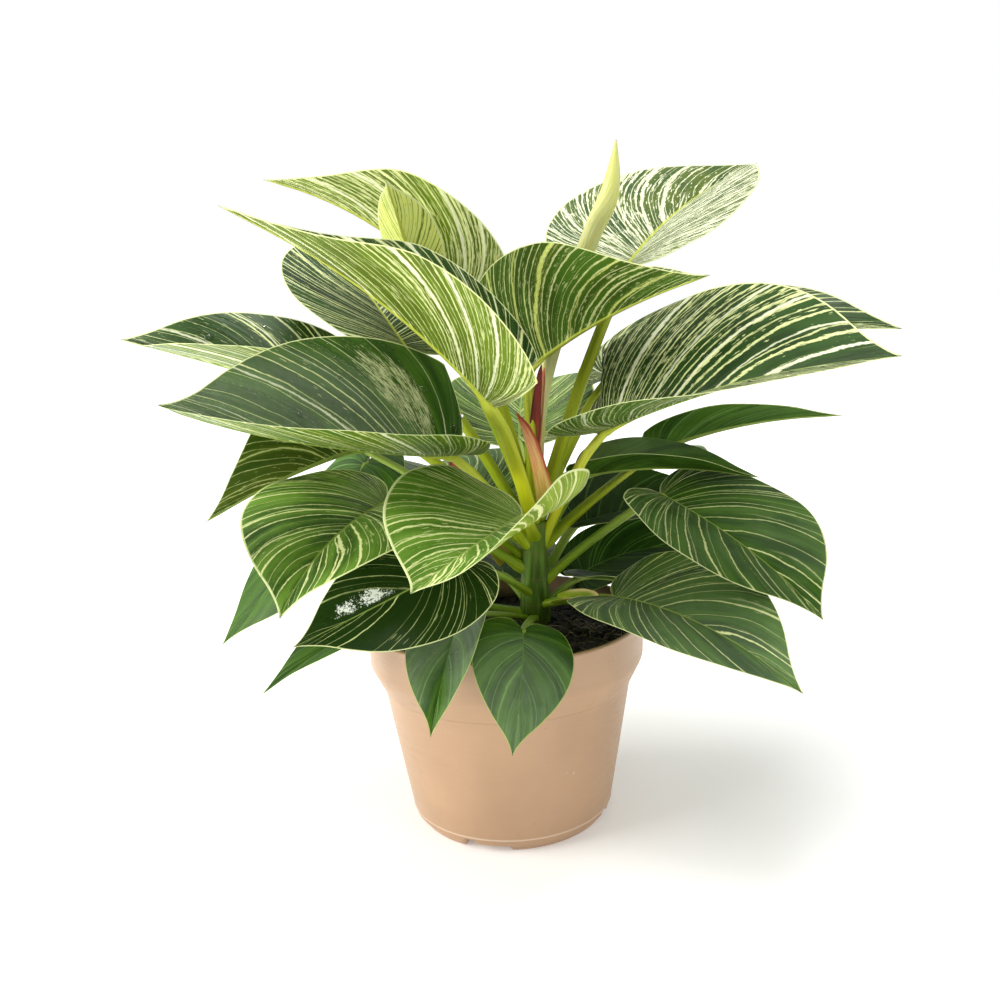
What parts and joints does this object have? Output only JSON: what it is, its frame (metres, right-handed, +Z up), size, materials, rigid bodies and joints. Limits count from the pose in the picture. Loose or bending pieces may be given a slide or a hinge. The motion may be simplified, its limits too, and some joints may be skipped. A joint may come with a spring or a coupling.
{
  "type": "philodendron birkin in a pot",
  "caption": "Variegated aroid houseplant: heart-shaped green leaves with fine cream stripes on a short stem, growing in a round tapered plastic nursery pot filled with soil.",
  "frame": {"origin": "middle of the pot's underside, on the surface the pot stands on", "axes": "+Z up out of the pot, -Y towards the plant's front, +X to the right as seen from the front"},
  "size_m": [0.4001, 0.323, 0.337],
  "materials": {
    "pot": "satin",
    "soil": "matte",
    "stem": "satin",
    "old_leaf": "satin",
    "green_leaf": "satin",
    "cream_leaf": "satin",
    "rolled_leaf": "satin",
    "tan_sheath": "satin",
    "red_sheath": "satin"
  },
  "bodies": {
    "root": {"pot": "pot", "soil": "soil", "stem": "stem", "leaf_01": "old_leaf", "leaf_02": "old_leaf", "leaf_03": "old_leaf", "leaf_04": "old_leaf", "leaf_05": "green_leaf", "leaf_06": "old_leaf", "leaf_07": "old_leaf", "leaf_08": "old_leaf", "leaf_09": "green_leaf", "leaf_10": "green_leaf", "leaf_11": "green_leaf", "leaf_12": "green_leaf", "leaf_13": "green_leaf", "leaf_14": "green_leaf", "leaf_15": "green_leaf", "leaf_16": "green_leaf", "leaf_17": "old_leaf", "leaf_18": "green_leaf", "leaf_19": "green_leaf", "leaf_20": "cream_leaf", "leaf_21": "cream_leaf", "leaf_22": "cream_leaf", "leaf_23": "green_leaf", "leaf_24": "green_leaf", "leaf_25": "green_leaf", "leaf_26": "cream_leaf", "leaf_27": "old_leaf", "leaf_28": "old_leaf", "leaf_29": "old_leaf", "new_leaf": "rolled_leaf", "sheath_1": "tan_sheath", "sheath_2": "red_sheath", "sheath_3": "tan_sheath", "sheath_4": "tan_sheath", "sheath_5": "stem"}
  },
  "joints": []
}
